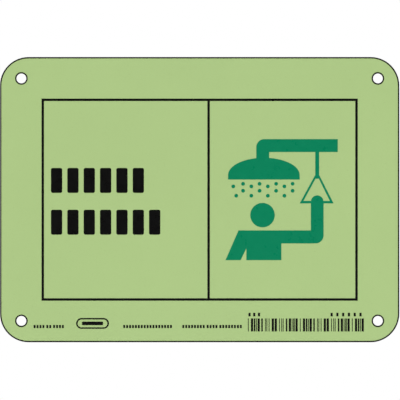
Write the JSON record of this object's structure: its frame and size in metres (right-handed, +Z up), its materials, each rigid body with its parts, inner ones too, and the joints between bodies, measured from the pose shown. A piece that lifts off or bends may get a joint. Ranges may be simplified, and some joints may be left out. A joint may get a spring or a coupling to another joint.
{
  "type": "safety shower sign",
  "caption": "Flat glow-in-the-dark wall sign plate with rounded corners, a screw hole near each corner, a ruled two-panel frame and a printed safety shower symbol.",
  "frame": {"origin": "centre of the back face, which lies on the wall", "axes": "+X along the sign to a reader's right, +Y into the wall, +Z up; the printed face looks towards -Y"},
  "size_m": [0.1778, 0.0012, 0.127],
  "materials": {
    "sheet_aluminium": "mill finish rolled sheet",
    "adhesive": "clear pressure-sensitive adhesive",
    "white_film": "smooth white vinyl",
    "phosphor_film": "pale green glow-in-the-dark film, satin",
    "black_ink": "screen-printed, satin",
    "green_ink": "screen-printed, satin"
  },
  "bodies": {
    "root": {"base_plate": "sheet_aluminium", "film_adhesive": "adhesive", "white_backing_film": "white_film", "phosphor_layer": "phosphor_film", "edge_keyline": "black_ink", "hole_rings": "black_ink", "border_frame": "black_ink", "panel_divider": "black_ink", "legend_line_upper": "black_ink", "legend_line_lower": "black_ink", "small_print_origin": "black_ink", "maker_mark_pill": "black_ink", "small_print_web": "black_ink", "small_print_label": "black_ink", "stripe_block": "black_ink", "stripe_caption_left": "black_ink", "stripe_caption_right": "black_ink", "symbol_pipe": "green_ink", "symbol_shower_rose": "green_ink", "symbol_drops": "green_ink", "symbol_pull_rod": "green_ink", "symbol_pull_handle": "green_ink", "symbol_person_head": "green_ink", "symbol_person_body": "green_ink"}
  },
  "joints": []
}
